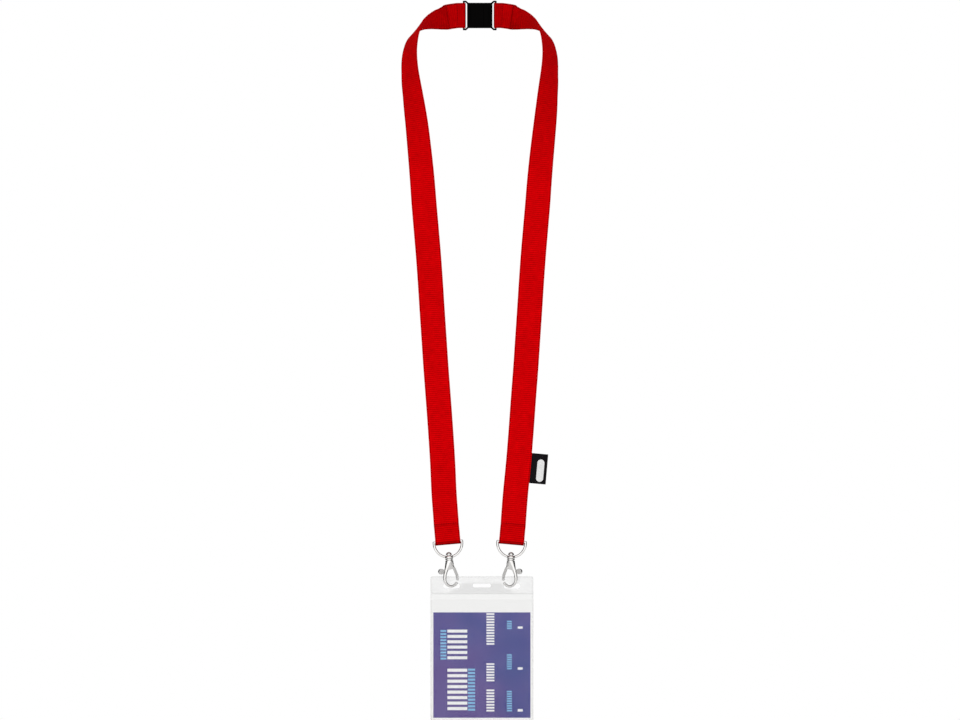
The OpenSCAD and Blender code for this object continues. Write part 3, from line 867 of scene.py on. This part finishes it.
def disc(name, radius, z):
    rings, around = 6, 96
    verts, faces = [(0, 0, z)], []
    for r in range(1, rings + 1):
        for k in range(around):
            t = 2 * math.pi * k / around
            verts.append((radius * r / rings * math.cos(t), radius * r / rings * math.sin(t), z))
    for k in range(around):
        faces.append((0, 1 + k, 1 + (k + 1) % around))
    for r in range(rings - 1):
        for k in range(around):
            a, b = 1 + r * around + k, 1 + r * around + (k + 1) % around
            faces.append((a, a + around, b + around, b))
    return new_object(name, verts, faces)


def floor_material():
    m = Nodes("floor_pale")
    cloud = m.noise(6.0, 2.0, m.place())
    return m.principled(m.ramp(cloud, [(0.3, grey(0.80)), (0.7, grey(0.83))]), 0.7)


floor = disc("floor", FLOOR_RADIUS, FLOOR_Z)
dress(floor, floor_material())


def area_light(name, place, target, size, power):
    """A square lamp that lights the object and isn't seen, directly or in a reflection."""
    d = bpy.data.lights.new(name, "AREA")
    d.energy, d.size = power, size
    ob = bpy.data.objects.new(name, d)
    bpy.context.scene.collection.objects.link(ob)
    ob.location = place
    ob.rotation_mode = "QUATERNION"
    ob.rotation_quaternion = (Vector(target) - Vector(place)).to_track_quat("-Z", "Y")
    ob.visible_camera = ob.visible_glossy = False


area_light("key", (-1.3, -1.5, 0.3), (0, 0, -0.32), size=1.0, power=15)
area_light("fill", (1.3, -1.5, -0.5), (0, 0, -0.32), size=1.0, power=11)
area_light("rim", (0.2, 1.8, 0.8), (0, 0, -0.3), size=1.2, power=12)

SOFT_LIGHT = 0.70
# what shiny surfaces see, from straight in front (0) to straight behind (1), and overhead
SHINY_STOPS = [(0.0, grey(1.3)), (0.10, grey(1.25)), (0.19, grey(0.75)), (0.29, grey(0.2)),
               (0.40, grey(0.035)), (0.7, grey(0.015)), (0.8, grey(0.06)), (1.0, grey(0.01))]
SHINY_TOP = grey(0.6)


def studio_world():
    """Even soft light for matt surfaces.

    Shiny ones see a bright front and dark sides, which draw their edges.
    """
    world = bpy.data.worlds.new("studio")
    bpy.context.scene.world = world
    world.use_nodes = True
    tree = world.node_tree
    tree.nodes.clear()

    def add(kind, **inputs):
        """A node with its inputs set by number, as _0, _1 and so on."""
        n = tree.nodes.new("ShaderNode" + kind)
        for k, v in inputs.items():
            socket = n.inputs[int(k[1:])]
            if isinstance(v, bpy.types.NodeSocket):
                tree.links.new(v, socket)
            else:
                socket.default_value = v
        return n

    path = add("LightPath")
    way = add("SeparateXYZ", _0=add("TexCoord").outputs["Generated"])
    behind = add("MapRange", _0=way.outputs[1], _1=-1.0, _2=1.0, _3=0.0, _4=1.0)
    ramp = add("ValToRGB", _0=behind.outputs[0])
    stops = ramp.color_ramp.elements
    stops.remove(stops[0])
    stops[0].position, stops[0].color = SHINY_STOPS[0]
    for at, colour in SHINY_STOPS[1:]:
        stops.new(at).color = colour
    # lighter overhead, and darker towards the floor
    up = add("MapRange", _0=way.outputs[2], _1=0.55, _2=0.9, _3=0.0, _4=1.0)
    down = add("MapRange", _0=way.outputs[2], _1=-0.75, _2=-0.25, _3=0.12, _4=1.0)
    shiny = add("Mix")
    shiny.data_type = "RGBA"
    tree.links.new(up.outputs[0], shiny.inputs[0])
    tree.links.new(ramp.outputs[0], shiny.inputs[6])
    shiny.inputs[7].default_value = SHINY_TOP
    glossy = add("Background", _1=down.outputs[0])
    tree.links.new(shiny.outputs[2], glossy.inputs[0])
    soft = add("Background", _0=grey(1.0), _1=SOFT_LIGHT)
    seen = add("Background", _0=grey(1.0), _1=1.0)
    light = add("MixShader")
    tree.links.new(path.outputs["Is Glossy Ray"], light.inputs[0])
    tree.links.new(soft.outputs[0], light.inputs[1])
    tree.links.new(glossy.outputs[0], light.inputs[2])
    final = add("MixShader")
    tree.links.new(path.outputs["Is Camera Ray"], final.inputs[0])
    tree.links.new(light.outputs[0], final.inputs[1])
    tree.links.new(seen.outputs[0], final.inputs[2])
    tree.links.new(final.outputs[0], add("OutputWorld").inputs[0])


studio_world()

bpy.context.scene.view_settings.view_transform = "Standard"
